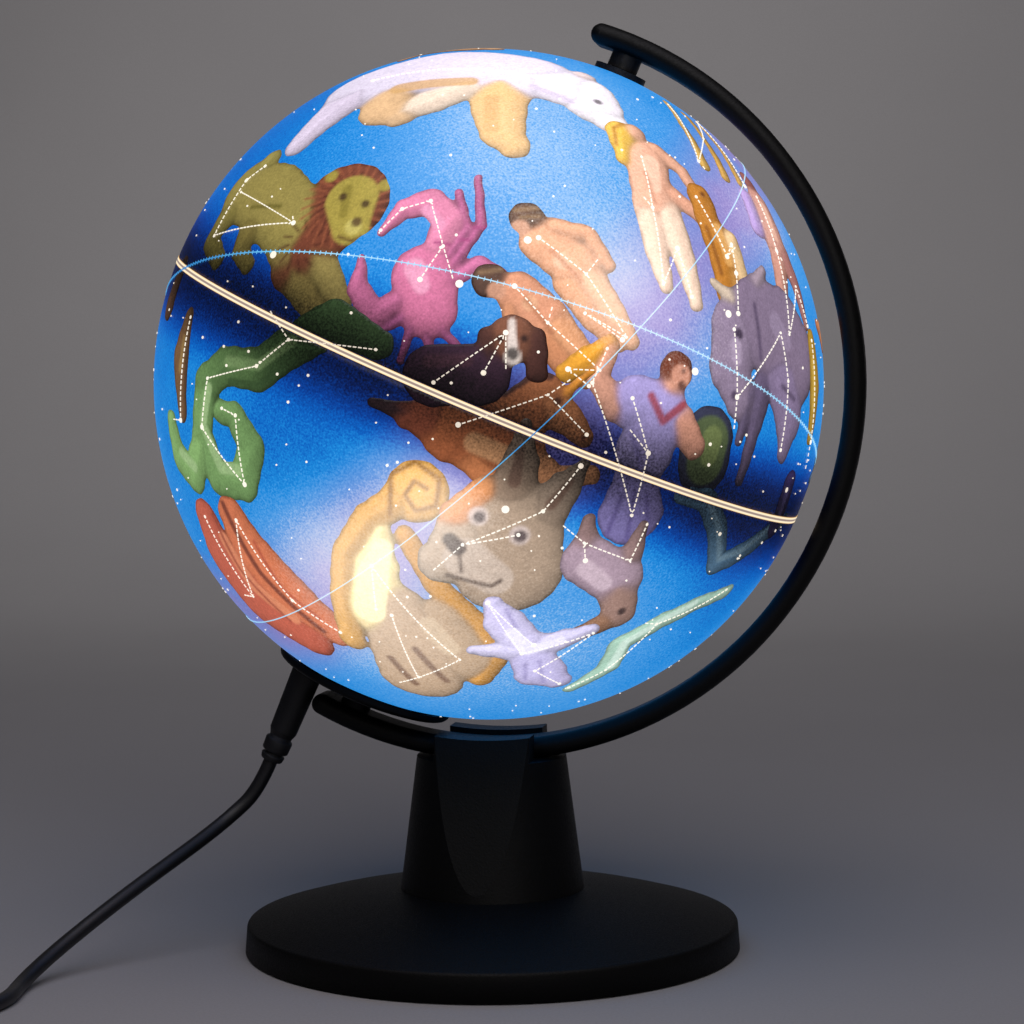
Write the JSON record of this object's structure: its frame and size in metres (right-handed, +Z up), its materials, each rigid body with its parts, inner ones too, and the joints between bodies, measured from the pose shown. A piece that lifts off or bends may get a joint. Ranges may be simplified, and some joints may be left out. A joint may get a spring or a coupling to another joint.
{
  "type": "desktop globe on stand",
  "caption": "Lit celestial globe turning on a tilted half-ring bow, held by a short pillar on a round weighted base, with a plug-in lamp lead.",
  "frame": {"origin": "on the table under the middle of the round base, at the middle of the base pad's underside", "axes": "+Z up; the bow's plane is XZ and the globe's north end leans towards +X; the front is -Y"},
  "size_m": [0.2487, 0.1991, 0.2213],
  "materials": {
    "sky_print": "printed, satin, lit from inside",
    "joint_cream": "translucent, lit from inside",
    "black_abs": "fine moulded grain",
    "black_base": "fine moulded grain",
    "black_nylon": "smooth",
    "lead_pvc": "satin",
    "plug_pvc": "satin moulded",
    "tie_fabric": "hook and loop",
    "screw_steel": "zinc plated",
    "weight_steel": "mill",
    "contact_nickel": "nickel plated",
    "pin_brass": "turned",
    "pad_foam": "fine cell foam",
    "lamp_white": "smooth",
    "diffuser_opal": "opal",
    "board_white": "solder mask",
    "led_phosphor": "phosphor gel",
    "wire_red": "insulation"
  },
  "bodies": {
    "stand": {"bow_arm": "black_abs", "north_pin": "black_nylon", "lamp_holder": "black_abs", "power_jack": "black_nylon", "jack_pin": "pin_brass", "lamp_stem": "lamp_white", "stem_screws": "screw_steel", "led_board": "board_white", "leds": "led_phosphor", "lamp_diffuser": "diffuser_opal", "diffuser_collar": "lamp_white", "lamp_wires": "wire_red", "holder_screw": "screw_steel", "plug_body": "plug_pvc", "plug_barrel": "contact_nickel", "strain_relief": "plug_pvc", "lead_run": "lead_pvc", "lead_tail": "lead_pvc", "lead_coil": "lead_pvc", "cable_tie": "tie_fabric", "usb_shell": "contact_nickel", "usb_body": "plug_pvc", "usb_tongue": "lamp_white", "base_shell": "black_base", "base_plate": "black_nylon", "base_pad": "pad_foam", "base_weight": "weight_steel", "plate_screws": "screw_steel", "pillar": "black_base", "pillar_screws": "screw_steel", "arm_screws": "screw_steel"},
    "globe": {"north_hemisphere": "sky_print", "south_hemisphere": "sky_print", "joint_ring": "joint_cream", "north_hub": "black_nylon", "hub_clip": "black_nylon", "bearing_ring": "black_nylon"}
  },
  "joints": [
    {"name": "globe_spin", "type": "hinge", "parent": "stand", "child": "globe", "pos_m": [0, 0, 0.136], "axis": [0.3987, 0, 0.9171], "continuous": true}
  ]
}
